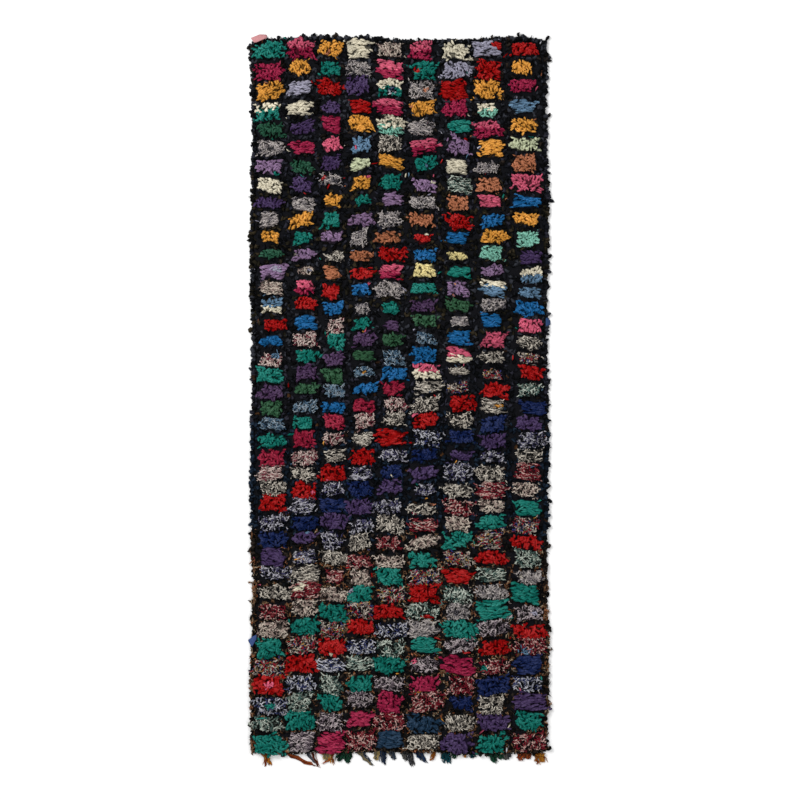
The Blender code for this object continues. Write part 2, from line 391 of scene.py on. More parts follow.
# %% The order of the dyes
SLANTS = (
    "teal", "crimson 1 pink/crimson", "mustard", "cream/teal 1 lavender 2 teal 3 cream",
    "pink 1 cream 2 red 3 silver 4 cream_marl", "silver 1 purple 4 pink/crimson",
    "mauve 1 crimson 3 red 4 cream/teal 5 teal", "cream 1 green 2 pink 3 mustard 4 purple 5 silver 6 lavender",
    "purple 3 sky 4 cream/mint 5 mustard 6 red", "silver 3 celadon 4 bone 5 silver 6 crimson 7 mustard",
    "mustard 5 pink/crimson 6 teal 7 cream/mint 8 crimson", "green 1 teal 6 mauve 7 pink/crimson 8 sky",
    "mauve 6 cream 7 mustard", "cream_marl 2 bone 3 silver 6 celadon_marl 7 silver 8 celadon",
    "sky/cream 1 bone 2 rust", "red 7 pink", "blue", "rose_marl 3 silver 5 butter 7 mustard",
    "teal 7 mint", "plum 6 mauve 8 purple", "leaf 7 cream/sky", "sky_marl 6 silver 8 sky", "teal 2 blue",
    "wine 5 pink/cream 7 pink", "rose_marl 5 bone", "bone 6 multi_marl", "red",
    "lavender_marl 5 navy_marl 6 bone 8 celadon_marl", "navy", "purple", "lavender_marl",
    "bone", "red_marl", "cream_marl", "teal", "multi_marl", "red", "navy_marl 5 celadon_marl",
    "celadon_marl 5 silver", "teal", "lilac_marl", "crimson 7 red", "red_marl", "denim 6 navy",
    "bone 8 navy_marl", "purple", "teal", "red_marl",
)
ODD_SHARE = 0.015
ODD_LOTS = ("purple", "mustard", "silver", "cream", "green", "lavender", "pink/crimson", "celadon_marl")
rng = np.random.default_rng(7)


def lots_of_tuft(row, column):
    """The lots that one tuft is tied from, upper band first."""
    words = SLANTS[row + column].split()
    name = words[0]
    for change, following in zip(words[1::2], words[2::2]):
        if column >= int(change):
            name = following
    if rng.random() < ODD_SHARE:
        name = ODD_LOTS[rng.integers(len(ODD_LOTS))]
    return name.split("/")


chart = [[lots_of_tuft(row, column) for column in range(COLUMNS)] for row in range(ROWS)]
print("the first row is", chart[0])

# %% [markdown]
# A tuft is a crowded bunch of short yarns. Each yarn leaves its knot near the middle, arches over
# and lies outward. At the rim of the tuft the yarns clump into pointed locks that cross the dark
# ground, which gives the ragged star shapes. A yarn is kept as three control points of a smooth
# arch, so thousands can be worked out at once as arrays.

# %% Size and shape of one tuft
PLAIN_AREA = 68e-6
MARLED_AREA = 50e-6
PLAIN_YARN = (0.0090, 0.0185)
MARLED_YARN = (0.0054, 0.0215)
TUFT_FOOT = 0.016
TUFT_CROWN = 0.010
LOCKS = (4, 9)
LOCK_ANGLE = 0.17
LOBES = (0.075, 0.070, 0.050)
LAID_SHARE = 0.24
LIFT = (-0.001, 0.008)
DEEP_THREAD = 0.26
LAST_ROW_DROP = 0.004
BODY_ROWS = (0, 3, 8, 20, 27)
BODY_REACH = (0.85, 0.84, 0.77, 0.77, 0.85)
SWAY = (0.0025, 0.0055)
sways = rng.uniform(0, math.tau, (COLUMNS, 2))
DRIFT_ROWS = (8, 12, 20, 25, 30, 35)
DRIFTS = np.array((
    (0.000, 0.000, 0.000, 0.000, 0.000, 0.000, 0.000, 0.000, 0.000),
    (0.008, 0.012, 0.010, 0.011, 0.010, 0.014, 0.011, 0.012, 0.022),
    (0.008, 0.012, 0.010, 0.011, 0.010, 0.014, 0.011, 0.012, 0.022),
    (0.010, 0.008, 0.004, 0.006, 0.004, 0.004, 0.006, 0.004, 0.008),
    (0.008, 0.006, 0.003, 0.003, 0.003, 0.004, 0.008, 0.006, 0.014),
    (0.002, 0.002, 0.000, 0.000, 0.000, 0.004, 0.012, 0.014, 0.018),
))
SMALL_SHARE = 0.05
LARGE_TUFTS = {(0, 0): (0.002, -0.004, 1.34, 1.12), (2, 6): (0.000, -0.003, 1.08, 1.30)}
GAP_ROWS = (0, 7, 18, 26, 39)
GAPS_ACROSS = (0.0035, 0.0070, 0.0055, -0.0010, -0.0050)
GAPS_DOWN = (0.0005, 0.0028, 0.0022, -0.0010, -0.0030)


def dome(u, v):
    """Height of a tuft's surface, from shares of its half width and half depth."""
    out = np.clip(np.hypot(u, v), 0, 1.3)
    return TUFT_FOOT + TUFT_CROWN * np.clip(1 - out ** 3, -0.5, 1)


def tuft_box(row, column):
    """Straight centre and half sizes of one tuft; tufts are fullest towards the bottom of the rug."""
    gap_x = np.interp(row, GAP_ROWS, GAPS_ACROSS)
    gap_y = np.interp(row, GAP_ROWS, GAPS_DOWN)
    half_x = (grooves[column + 1] - grooves[column]) / 2 - gap_x
    half_y = (lines[row] - lines[row + 1]) / 2 - gap_y
    sway_x, sway_y = SWAY * np.sin(row * 0.36 + sways[column]) * min(1, (ROWS - 1 - row) / 3, (row + 1) / 3)
    spread = np.clip((row - 22) / 12, 0, 1)
    centre_x = (grooves[column] + grooves[column + 1]) / 2 + rng.normal(0, 0.0040) + sway_x
    centre_x += np.interp(row, DRIFT_ROWS, DRIFTS[:, column])
    centre_y = (lines[row] + lines[row + 1]) / 2 + rng.normal(0, 0.0030) + sway_y
    if row == ROWS - 1:
        centre_y -= LAST_ROW_DROP
    half_x = min(half_x, 0.051 + 0.007 * spread) * rng.uniform(0.84, 1.14)
    half_y = half_y * rng.uniform(0.78, 1.24)
    if rng.random() < SMALL_SHARE:
        half_x, half_y = half_x * 0.80, half_y * 0.72
    right, up, wider, deeper = LARGE_TUFTS.get((row, column), (0, 0, 1, 1))
    return centre_x + right, centre_y + up, half_x * wider, half_y * deeper


tuft_places = np.array([[tuft_box(row, column) for column in range(COLUMNS)] for row in range(ROWS)])


def reach_of(angle, body, lobes, lock_angle, lock_reach):
    """How far a tuft reaches in each direction, in half sizes: a blunt, lobed body with pointed locks."""
    blunt = (abs(np.cos(angle)) ** 3.2 + abs(np.sin(angle)) ** 3.2) ** (-1 / 3.2)
    apart = abs((angle[:, None] - lock_angle + math.pi) % math.tau - math.pi)
    uneven = 1 + (LOBES * np.sin(np.outer(angle, (2, 3, 5)) + lobes)).sum(axis=1)
    return blunt * uneven * body + (lock_reach * np.exp(-(apart / LOCK_ANGLE) ** 2)).max(axis=1)


def yarns_of_tuft(row, column, marled):
    """Control points, width and tint of every yarn in one tuft."""
    cx, cy, a, b = tuft_places[row, column]
    half = np.array([[a], [b]])
    width, length = MARLED_YARN if marled else PLAIN_YARN
    grown = 1 + 0.20 * row / ROWS
    count = int(4 * a * b / ((MARLED_AREA if marled else PLAIN_AREA) * grown))
    locks = rng.integers(*LOCKS)
    corners = np.array((-0.75, -0.25, 0.25, 0.75)) * math.pi + rng.normal(0, 0.14, 4)
    lock_angle = np.concatenate([corners, rng.uniform(-math.pi, math.pi, locks)])
    lock_reach = np.concatenate([rng.uniform(0.10, 0.72, 4), rng.uniform(0.05, 0.55, locks)])
    body = np.interp(row, BODY_ROWS, BODY_REACH) * rng.uniform(0.94, 1.05)
    shape = (body, rng.uniform(0, math.tau, 3), lock_angle, lock_reach)
    angle = rng.uniform(-math.pi, math.pi, count)
    out = np.sqrt(rng.uniform(0, 1, count)) * 0.88
    middle = out * reach_of(angle, *shape) * np.stack([np.cos(angle), np.sin(angle)])
    heading = np.arctan2(middle[1] * b, middle[0] * a) + rng.normal(0, 1, count) * (2.4 - 2.1 * out)
    length = length * grown * rng.uniform(0.65, 1.2, count)
    if rng.random() < LAID_SHARE:
        heading = rng.integers(0, 2, count) * math.pi + rng.normal(0, 0.25, count)
        length = length * 1.35
    sway = heading + rng.normal(0, 0.45, count)
    root = middle - 0.5 * length * np.stack([np.cos(sway), np.sin(sway)]) / half
    tip = middle + 0.5 * length * np.stack([np.cos(heading), np.sin(heading)]) / half
    for end, share in ((root, 0.9), (tip, 1.0)):
        reach = reach_of(np.arctan2(end[1], end[0]), *shape) * share
        end /= np.maximum(np.hypot(*end) / reach, 1)
    lift = rng.uniform(0, 1, count)
    heights = (
        dome(*root) - 0.007,
        dome(*middle) + LIFT[0] + (LIFT[1] - LIFT[0]) * lift,
        dome(*tip) + rng.uniform(-0.004, 0.002, count),
    )
    if marled:
        tint = (DEEP_THREAD + lift + rng.normal(0, 0.20, count)) % 1
    else:
        start_u, start_v = rng.uniform(0, math.tau, 2)
        patches = 0.5 + 0.5 * np.sin(3.2 * middle[0] + start_u) * np.sin(2.6 * middle[1] + start_v)
        # Yarns that lie higher get a lighter tint, as painted light; the rest of the tint is a random tone and
        # broad patches.
        tint = 0.55 * lift + 0.17 * rng.uniform(0, 1, count) + 0.26 * patches
        tint = np.clip(tint + rng.uniform(-0.14, 0.16), 0, 1)
    points = []
    skew = rng.normal(0, 0.07)
    for end, z in zip((root, middle, tip), heights):
        x, y = on_body(end[0] * a + cx, end[1] * b + end[0] * a * skew + cy)
        points.append(np.stack([x, y + row_wander(x, y), z], axis=1))
    return {
        "points": np.stack(points, axis=1),
        "width": width * grown * rng.uniform(0.75, 1.2, count),
        "tint": tint,
        "u": middle[0],
        "v": middle[1],
    }


# %% Tie every tuft
STRAY_SHARE = 0.22
STRAY_LOTS = ("red", "cream", "teal", "pink", "mustard", "lavender", "rust", "bone", "navy_marl", "sky")
basket = {name: [] for name in finishes}


def put(lot, yarns, chosen=slice(None)):
    """Adds yarns, or some of them, to the basket of their lot."""
    basket[lot].append({key: values[chosen] for key, values in yarns.items()})


def strays(bunch):
    """The few yarns beside each other that came from another lot, in some of the tufts."""
    if rng.random() > STRAY_SHARE:
        return np.zeros(len(bunch["v"]), dtype=bool)
    place = rng.uniform(-0.95, 0.95, 2)
    return np.hypot(bunch["u"] - place[0], bunch["v"] - place[1]) < rng.uniform(0.12, 0.34)


for row in range(ROWS):
    for column in range(COLUMNS):
        lots = chart[row][column]
        bunch = yarns_of_tuft(row, column, lots[0] in MARLED)
        odd = strays(bunch)
        put(STRAY_LOTS[rng.integers(len(STRAY_LOTS))], bunch, odd)
        if len(lots) == 1:
            put(lots[0], bunch, ~odd)
            continue
        upper = bunch["v"] + rng.normal(0, 0.12, len(bunch["v"])) > rng.uniform(-0.2, 0.15)
        put(lots[0], bunch, upper & ~odd)
        put(lots[1], bunch, ~upper & ~odd)
print(sum(len(bunch["v"]) for bunches in basket.values() for bunch in bunches), "yarns in the tufts")

# %% [markdown]
# Between the tufts the pile is near-black wool, shorter and thicker, and its dye changes down the
# rug: ink at the top, mossy below, ink again, and a brown marl where black ran short. The same
# short yarns stand out of the rim as small locks.

# %% Dark ground
GROUND_STEP = 0.0134
GROUND_YARN = (0.0145, 0.0175)
GROUND_LEVEL = 0.0115
FINE_PARTS = 3
BITS_SHARE = 0.0016
GROUND_BANDS = (
    ("until", "main", "other", "share"),
    (5.0, "coal", "soot", 0.25),
    (7.5, "ink", "soot", 0.25),
    (11.5, "ink", "moss", 0.50),
    (16.0, "coal", "moss", 0.42),
    (18.0, "coal", "bark", 0.08),
    (21.5, "ink", "bark", 0.08),
    (28.0, "slate", "bark", 0.08),
    (29.5, "soot", "brown_marl", 0.34),
    (36.0, "soot", "brown_marl", 0.58),
    (40.0, "soot", "brown_marl", 0.50),
)


def ground_yarns(x, y, heading, length, width, heights):
    """Short thick yarns at straight places, from root, middle and tip heights."""
    count = len(x)
    sway = heading + rng.normal(0, 0.6, count)
    points = []
    for share, turn, z in zip((0.0, 0.55, 1.0), (sway, sway, heading), heights):
        px, py = on_body(x, y)
        px = px + share * length * np.cos(turn)
        py = py + share * length * np.sin(turn)
        points.append(np.stack([px, py + row_wander(px, py), z], axis=1))
    return {
        "points": np.stack(points, axis=1),
        "width": width * rng.uniform(0.7, 1.25, count),
        "tint": rng.uniform(0, 1, count),
        "v": y,
    }


def thinned(yarns):
    """The same yarns untwisted into thinner ones that lie beside them."""
    count = len(yarns["v"])
    nudge = rng.normal(0, 0.0035, (count, 3, 3)) * (1, 1, 0.3)
    return {**yarns, "points": yarns["points"] + nudge, "width": yarns["width"] * 0.42, "tint": rng.random(count)}


def sort_ground(yarns, fine=True):
    """Puts each ground yarn into the lot that its part of the rug was tied with."""
    row = np.interp(-yarns["v"], -lines, np.arange(ROWS + 1)) + rng.normal(0, 0.4, len(yarns["v"]))
    row = np.clip(row, 0, ROWS - 0.01)
    patchy = 0.5 + 0.5 * np.sin(yarns["points"][:, 0, 0] * 23 + 3 * np.sin(yarns["v"] * 31))
    chance = rng.random(len(row)) * 0.6 + patchy * 0.4
    start = 0.0
    for until, main, other, share in GROUND_BANDS[1:]:
        inside = (row >= start) & (row < until)
        put(main, yarns, inside & (chance >= share))
        if other == "brown_marl" and fine:
            for part in range(FINE_PARTS):
                put(other, thinned(yarns), inside & (chance < share))
        else:
            put(other, yarns, inside & (chance < share))
        start = until


def cell_of(x, y):
    """The column and row of straight places, and their shares of the cell's half sizes."""
    column = np.clip(np.searchsorted(grooves, x) - 1, 0, COLUMNS - 1)
    row = np.clip(np.searchsorted(-lines, -y) - 1, 0, ROWS - 1)
    u = (2 * x - grooves[column] - grooves[column + 1]) / (grooves[column + 1] - grooves[column])
    v = (2 * y - lines[row] - lines[row + 1]) / (lines[row] - lines[row + 1])
    return column, row, u, v


def scatter(step):
    """Jittered places all over the straight body."""
    nx, ny = round(BODY_WIDTH / step), round(BODY_LENGTH / step)
    x, y = np.meshgrid((np.arange(nx) + 0.5) / nx - 0.5, (np.arange(ny) + 0.5) / ny - 0.5)
    x = x.ravel() * BODY_WIDTH + rng.uniform(-0.5, 0.5, nx * ny) * step
    y = y.ravel() * BODY_LENGTH + rng.uniform(-0.5, 0.5, nx * ny) * step
    return x, y


def loose_bits(yarns):
    """The few thin bits of the tufts' yarns that worked loose and lie on the ground."""
    bits = thinned(yarns)
    bits["points"] = bits["points"] + (0, 0, 0.004)
    for lot in STRAY_LOTS:
        put(lot, bits, rng.random(len(bits["v"])) < BITS_SHARE)


x, y = scatter(GROUND_STEP)
u, v = cell_of(x, y)[2:]
outside = (abs(u) > 0.60) | (abs(v) > 0.60)
x, y = x[outside], y[outside]
heading = rng.uniform(-math.pi, math.pi, len(x))
length = GROUND_YARN[1] * rng.uniform(0.6, 1.2, len(x))
width = np.full(len(x), GROUND_YARN[0])
inset = np.minimum(BODY_WIDTH / 2 - abs(x), BODY_LENGTH / 2 - abs(y))
level = GROUND_LEVEL * np.clip(inset / 0.02, 0.6, 1)
ground = ground_yarns(x, y, heading, length, width, (
    level * 0.5, level + rng.uniform(0.001, 0.007, len(x)), level + rng.uniform(-0.003, 0.002, len(x))))
sort_ground(ground)
loose_bits(ground)
print(len(x), "ground yarns")


# %% Locks at the rim
RIM_STEP = 0.0066
RIM_YARN = (0.0190, 0.0128)
RIM_SWELL = 0.25
WISP_YARN = (0.0028, 0.018)
WISP_STEP = 0.07
RIM_SIDES = (("left", BODY_LENGTH), ("right", BODY_LENGTH), ("top", BODY_WIDTH), ("bottom", BODY_WIDTH - 0.03))
BOTTOM_INSET = 0.004
TOP_INSET = 0.004
RIGHT_INSET = 0.003
CORNER_REACH = 0.045
CORNER_INSET = 0.009
RAG_OUTWARD = {"corner_rag": (0, 1), "left_rag": (-1, 0), "right_rag": (1, 0)}
RAG_ROOM = (0.016, -0.003)


def clear_of_rags(x, y, way_out):
    """The places that leave room for the three rag ends."""
    px, py = on_body(x, y)
    keep = np.ones(len(x), dtype=bool)
    for name, outward in RAG_OUTWARD.items():
        low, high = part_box(name)
        room_x, room_y = RAG_ROOM if outward[0] else RAG_ROOM[::-1]
        keep &= (px < low.x - room_x) | (px > high.x + room_x) | (py < low.y - room_y) | (py > high.y + room_y)
    return x[keep], y[keep], way_out[keep]


def rim_places(step, inside):
    """Places just inside the rim, and the way out of each; those at the bottom lie further in."""
    places = []
    for side, length_of_side in RIM_SIDES:
        count = int(length_of_side / step)
        along = (np.arange(count) + rng.uniform(0, 1, count)) / count - 0.5
        along *= length_of_side - 2 * CORNER_INSET
        depth = rng.uniform(*inside, count)
        if side == "top":
            places.append((along, BODY_LENGTH / 2 - TOP_INSET - depth, np.full(count, math.pi / 2)))
        elif side == "bottom":
            places.append((along, depth + BOTTOM_INSET - BODY_LENGTH / 2, np.full(count, -math.pi / 2)))
        else:
            sign = -1 if side == "left" else 1
            depth += RIGHT_INSET * (sign > 0)
            places.append((sign * (BODY_WIDTH / 2 - depth), along, np.full(count, math.pi if sign < 0 else 0.0)))
    return [np.concatenate(parts) for parts in zip(*places)]


def rim_yarns(step, inside, yarn, spread):
    """Locks that head out of the rim."""
    x, y, way_out = clear_of_rags(*rim_places(step, inside))
    count = len(x)
    swell = 1 + RIM_SWELL * np.sin((x + y) * math.tau / 0.057 + 2 * np.sin((x + y) * 17))
    past = np.hypot(
        np.clip(abs(x) - BODY_WIDTH / 2 + CORNER_REACH, 0, None),
        np.clip(y - BODY_LENGTH / 2 + CORNER_REACH, 0, None),
    )
    swell = swell * np.clip(1.75 - past / CORNER_REACH, 0.3, 1)
    sort_ground(ground_yarns(
        x, y, way_out + rng.normal(0, spread, count), yarn[1] * swell * rng.uniform(0.85, 1.06, count),
        np.full(count, yarn[0]),
        (rng.uniform(0.004, 0.009, count), rng.uniform(0.007, 0.015, count), rng.uniform(0.004, 0.011, count)),
    ), fine=False)
    return count


print(rim_yarns(RIM_STEP, (0.006, 0.010), RIM_YARN, 0.45), "rim locks")
print(rim_yarns(WISP_STEP, (0.004, 0.008), WISP_YARN, 0.6), "wisps")

# %% [markdown]
# A yarn becomes a mesh by sweeping a small triangle along its arch. It swells from the root and
# ends in a point. Marled yarns also crinkle from side to side. Each yarn gets its own cell in the
# bake map, so no two share a texel.

# %% Sweep yarns into a mesh
FLOOR_GAP = 0.0004
PLAIN_RINGS = ((0.0, 0.60), (0.38, 1.0), (0.80, 0.88))
GROUND_RINGS = ((0.0, 0.72), (0.36, 1.0), (0.74, 0.95), (0.96, 0.58))
MARLED_RINGS = ((0.0, 0.70), (0.26, 1.0), (0.52, 0.95), (0.80, 0.85))
SECTION = np.radians((90.0, 210.0, 330.0))
FLATTEN = 0.72


def arch(points, t):
    """Places along three-point arches at share t, and their directions."""
    a, b, c = points[:, 0], points[:, 1], points[:, 2]
    place = (1 - t) ** 2 * a + 2 * t * (1 - t) * b + t ** 2 * c
    direction = 2 * (1 - t) * (b - a) + 2 * t * (c - b)
    return place, direction / np.linalg.norm(direction, axis=1, keepdims=True).clip(1e-9)


def sweep(yarns, rings, crinkle):
    """Vertices and how far along each lies, for every yarn: its rings, then its tip."""
    points, width = yarns["points"], yarns["width"][:, None]
    up = np.array((0.0, 0.0, 1.0))
    roll = rng.uniform(-0.6, 0.6, len(points))[:, None]
    phase = rng.uniform(0, math.tau, len(points))[:, None]
    verts, along = [], []
    for t, share in rings:
        place, direction = arch(points, t)
        side = np.cross(direction, up)
        side /= np.linalg.norm(side, axis=1, keepdims=True).clip(1e-9)
        over = np.cross(side, direction)
        place = place + side * width * crinkle * np.sin(phase + t * 13.0)
        for angle in SECTION:
            offset = np.cos(angle + roll) * side + FLATTEN * np.sin(angle + roll) * over
            verts.append(place + 0.5 * width * share * offset)
            along.append(np.full(len(points), t))
    verts.append(arch(points, 1.0)[0])
    along.append(np.ones(len(points)))
    verts = np.stack(verts, axis=1)
    verts[..., 2] = verts[..., 2].clip(FLOOR_GAP)
    return verts, np.stack(along, axis=1)


def yarn_faces(rings):
    """Triangles of one yarn, and the place of each corner in its cell of the bake map."""
    faces, places = [(0, 2, 1)], [((0.0, 0.0), (1.0, 0.0), (0.5, 0.06))]
    last = 3 * rings
    for k in range(3):
        following = (k + 1) % 3
        left, right = k / 3, (k + 1) / 3
        for ring in range(rings - 1):
            low, high = 3 * ring, 3 * ring + 3
            v0 = 0.1 + 0.9 * ring / rings
            v1 = 0.1 + 0.9 * (ring + 1) / rings
            faces += [(low + k, low + following, high + following), (low + k, high + following, high + k)]
            places += [((left, v0), (right, v0), (right, v1)), ((left, v0), (right, v1), (left, v1))]
        ring = rings - 1
        faces.append((3 * ring + k, 3 * ring + following, last))
        v0 = 0.1 + 0.9 * ring / rings
        places.append(((left, v0), (right, v0), ((left + right) / 2, 1.0)))
    return np.array(faces), np.array(places)


def mesh_of(name, verts, faces, values=(), bake=None):
    """A smooth mesh object from arrays, with named values on its points and a bake map."""
    mesh = bpy.data.meshes.new(name)
    mesh.vertices.add(len(verts))
    mesh.vertices.foreach_set("co", verts.astype(np.float32).ravel())
    mesh.loops.add(faces.size)
    mesh.loops.foreach_set("vertex_index", faces.astype(np.int32).ravel())
    mesh.polygons.add(len(faces))
    mesh.polygons.foreach_set("loop_start", np.arange(0, faces.size, faces.shape[1], dtype=np.int32))
    mesh.polygons.foreach_set("use_smooth", np.ones(len(faces), dtype=bool))
    for key, value in dict(values).items():
        mesh.attributes.new(key, "FLOAT", "POINT").data.foreach_set("value", value.astype(np.float32).ravel())
    if bake is not None:
        mesh.uv_layers.new(name="OFBake").data.foreach_set("uv", bake.astype(np.float32).ravel())
    mesh.update(calc_edges=True)
    thing = bpy.data.objects.new(name, mesh)
    bpy.context.collection.objects.link(thing)
    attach(thing, "root")
    return thing


def spin(name, yarns, rings, crinkle, finish):
    """One piece from all the yarns of a lot."""
    verts, along = sweep(yarns, rings, crinkle)
    count, each = along.shape
    faces, places = yarn_faces(len(rings))
    all_faces = (faces[None] + (np.arange(count) * each)[:, None, None]).reshape(-1, 3)
    cells = math.ceil(math.sqrt(count))
    cell = np.stack([np.arange(count) % cells, np.arange(count) // cells], axis=1)
    bake = (cell[:, None, None] + 0.06 + 0.88 * places[None]) / cells
    tint = np.repeat(yarns["tint"], each)
    thing = mesh_of(name, verts.reshape(-1, 3), all_faces, {"tint": tint, "along": along}, bake)
    thing.data.materials.append(finish)
    return thing


# %% Pile pieces
triangles = 0
for lot, bunches in basket.items():
    if not bunches:
        continue
    yarns = {key: np.concatenate([bunch[key] for bunch in bunches]) for key in ("points", "width", "tint")}
    marled = lot in MARLED or lot == "brown_marl"
    rings = MARLED_RINGS if marled else GROUND_RINGS if lot in GROUND else PLAIN_RINGS
    thing = spin("pile_" + lot, yarns, rings, 0.45 if marled else 0.12, finishes[lot])
    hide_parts("pile_rug")
    triangles += len(thing.data.polygons)

# %% [markdown]
# Under the visible yarns lie their own roots, packed so close that they read as one soft, dark,
# lumpy mass. It is one closed mesh whose points carry the colour of the tuft above, darkened as
# painted shade for the crevices between the yarns.


# %% Slabs that follow the body
def slab(name, step, inset, height, floor, colour, plain_below):
    """A closed slab on the body's outline, its top at height(x, y) and its underside at floor."""
    nx, ny = round(BODY_WIDTH / step), round(BODY_LENGTH / step)
    sx = np.linspace(-BODY_WIDTH / 2 + inset, BODY_WIDTH / 2 - inset, nx + 1)
    sy = np.linspace(-BODY_LENGTH / 2 + inset, BODY_LENGTH / 2 - inset, ny + 1)
    gx, gy = np.meshgrid(sx, sy)
    px, py = on_body(gx, gy)
    top = np.stack([px, py, height(gx, gy)], axis=2).reshape(-1, 3)
    low = np.stack([px, py, np.full_like(px, floor)], axis=2).reshape(-1, 3)
    index = np.arange((nx + 1) * (ny + 1)).reshape(ny + 1, nx + 1)
    a, b = index[:-1, :-1].ravel(), index[:-1, 1:].ravel()
    c, d = index[1:, 1:].ravel(), index[1:, :-1].ravel()
    under = len(top)
    rim = np.concatenate([index[0], index[1:, -1], index[-1, -2::-1], index[-2:0:-1, 0]])
    following = np.roll(rim, -1)
    faces = [(a, b, c), (a, c, d)]
    if plain_below:
        low = np.concatenate([top[rim] * (1, 1, 0), [[shift_x, shift_y, 0.0]]]) + (0, 0, floor)
        below = under + np.arange(len(rim))
        faces.append((np.roll(below, -1), below, np.full(len(rim), under + len(rim))))
    else:
        below = rim + under
        faces += [(a + under, c + under, b + under), (a + under, d + under, c + under)]
    faces += [(rim, below, np.roll(below, -1)), (rim, np.roll(below, -1), following)]
    triangles = np.concatenate([np.stack(corners, axis=1) for corners in faces])
    thing = mesh_of(name, np.concatenate([top, low]), triangles)
    shade = thing.data.color_attributes.new("roots", "FLOAT_COLOR", "POINT")
    tops = colour(gx, gy).reshape(-1, 4)
    # The points of a plain underside are black, so the slab's sides darken towards their foot as painted shade.
    lows = np.zeros((len(low), 4)) if plain_below else tops
    shade.data.foreach_set("color", np.concatenate([tops, lows]).astype(np.float32).ravel())
    return thing


def main_colour(lot):
    """The colour of a lot's roots: a plain lot's dye, or for a marled or ground lot the mean of its threads
    darkened as painted shade in the gaps.
    """
    if lot in PLAIN:
        return np.array(linear(PLAIN[lot]))
    threads = MARLED.get(lot) or GROUND[lot]
    return 0.55 * sum(np.array(linear(dye)) * share for dye, share in threads)


tuft_colours = np.array([[main_colour(lots[-1]) for lots in line] for line in chart])
ink = main_colour("ink")


def under_tuft(x, y):
    """The tuft above each place, and how far out in it the place is, in half sizes."""
    y = y - row_wander(x, y)
    column, row = cell_of(x, y)[:2]
    centre_x, centre_y, a, b = np.moveaxis(tuft_places[row, column], -1, 0)
    return row, column, np.hypot((x - centre_x) / a, (y - centre_y) / b)


def shaded_root_colour(x, y):
    """The colour of the tuft above each place, darkened as painted shade in the crevices, or else the ground's
    root colour.
    """
    row, column, out = under_tuft(x.ravel(), y.ravel())
    # Painted shade: under a tuft its colour is cut to 0.38 for the dark crevices between the yarns.
    colour = np.where((out < 0.62)[:, None], tuft_colours[row, column] * 0.38, ink)
    return np.concatenate([colour, np.ones((len(colour), 1))], axis=1)


def root_height(x, y):
    """The lumps that the knots and roots make under the yarns."""
    lump = np.clip(1.0 - under_tuft(x, y)[2] ** 2, 0, 1)
    edge = np.minimum(BODY_WIDTH / 2 - abs(x), BODY_LENGTH / 2 - abs(y))
    return (0.008 + 0.010 * lump + rng.uniform(-0.001, 0.001, x.shape)) * np.clip(edge / 0.016, 0.5, 1)


# %% Roots of the pile
def root_finish():
    """Soft packed wool in the colours that the points carry."""
    material = bpy.data.materials.new("wool_roots")
    material.use_nodes = True
    shader = material.node_tree.nodes["Principled BSDF"]
    shader.inputs["Roughness"].default_value = WOOL_ROUGHNESS
    shader.inputs["Specular IOR Level"].default_value = 0.1
    start = Field(shader.outputs[0])
    place = start.node("TexCoord", {}, {}, output=3)
    shade = start.node("Attribute", {"attribute_name": "roots"}, {}, output=0)
    grain = start.node("TexNoise", {}, {"Vector": place, "Scale": 260.0, "Detail": 4.0})
    dim = grain * 1.6 - 0.25
    start.node(
        "Mix", {"data_type": "RGBA", "blend_type": "MULTIPLY"}, {"Factor": 1.0, 6: shade, 7: dim}, output=2,
    ).feeds(shader, "Base Color")
    start.node("Bump", {}, {"Strength": 0.8, "Distance": 0.003, "Height": grain}).feeds(shader, "Normal")
    return material


ROOT_FLOOR = 0.0032
roots = slab("pile_roots", 0.011, 0.003, root_height, ROOT_FLOOR, shaded_root_colour, plain_below=True)
roots.data.materials.append(root_finish())
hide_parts("pile_rug")
print("roots", len(roots.data.polygons), "faces")

# %% [markdown]
# All of it is tied into a plain woven ground, a thin stiff cloth that shows only at the edges and
# on the underside. There each knot shows as a short dash of its colour between dark wefts.


# %% Ground cloth
def knot_colour(x, y):
    """The colour of the knots on the underside: twice the roots' colour, which takes back part of their painted
    shade.
    """
    colour = shaded_root_colour(x, y)
    colour[:, :3] *= 2.0
    return colour


def cloth_finish():
    """Dark weft rows at a coarse pitch, with dashes of the knots' colours between them."""
    material = bpy.data.materials.new("woven_ground")
    material.use_nodes = True
    shader = material.node_tree.nodes["Principled BSDF"]
    shader.inputs["Roughness"].default_value = 0.95
    start = Field(shader.outputs[0])
    place = start.node("TexCoord", {}, {}, output=3)
    shade = start.node("Attribute", {"attribute_name": "roots"}, {}, output=0)
    rows = start.node(
        "TexWave", {"bands_direction": "Y", "wave_profile": "SIN"},
        {"Vector": place, "Scale": 58.0, "Distortion": 1.2, "Detail Scale": 20.0}, output=1,
    )
    warps = start.node(
        "TexWave", {"bands_direction": "X", "wave_profile": "SIN"},
        {"Vector": place, "Scale": 44.0, "Distortion": 1.0, "Detail Scale": 20.0}, output=1,
    )
    weave = rows * 0.7 + warps * 0.3
    weft = (0.030, 0.024, 0.020, 1.0)
    start.node(
        "Mix", {"data_type": "RGBA"}, {"Factor": rows, 6: weft, 7: shade}, output=2,
    ).feeds(shader, "Base Color")
    start.node("Bump", {}, {"Strength": 0.9, "Distance": 0.002, "Height": weave}).feeds(shader, "Normal")
    return material


CLOTH_THICKNESS = 0.0028


def cloth_top(x, y):
    """The even top of the cloth."""
    return np.full_like(x, CLOTH_THICKNESS)


cloth = slab("ground_cloth", 0.022, 0.004, cloth_top, 0.0, knot_colour, plain_below=False)
cloth.data.materials.append(cloth_finish())
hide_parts("pile_rug")
print("cloth", len(cloth.data.polygons), "faces")

# %% [markdown]
# At the bottom end the last knots leave loose rags and twisted cords, which hang over the edge and
# lie on the floor. They are yarns again, only longer and wider, so the same sweep makes them with
# more rings. Each tuft is a short row of roots, a sideways lean and a reach.

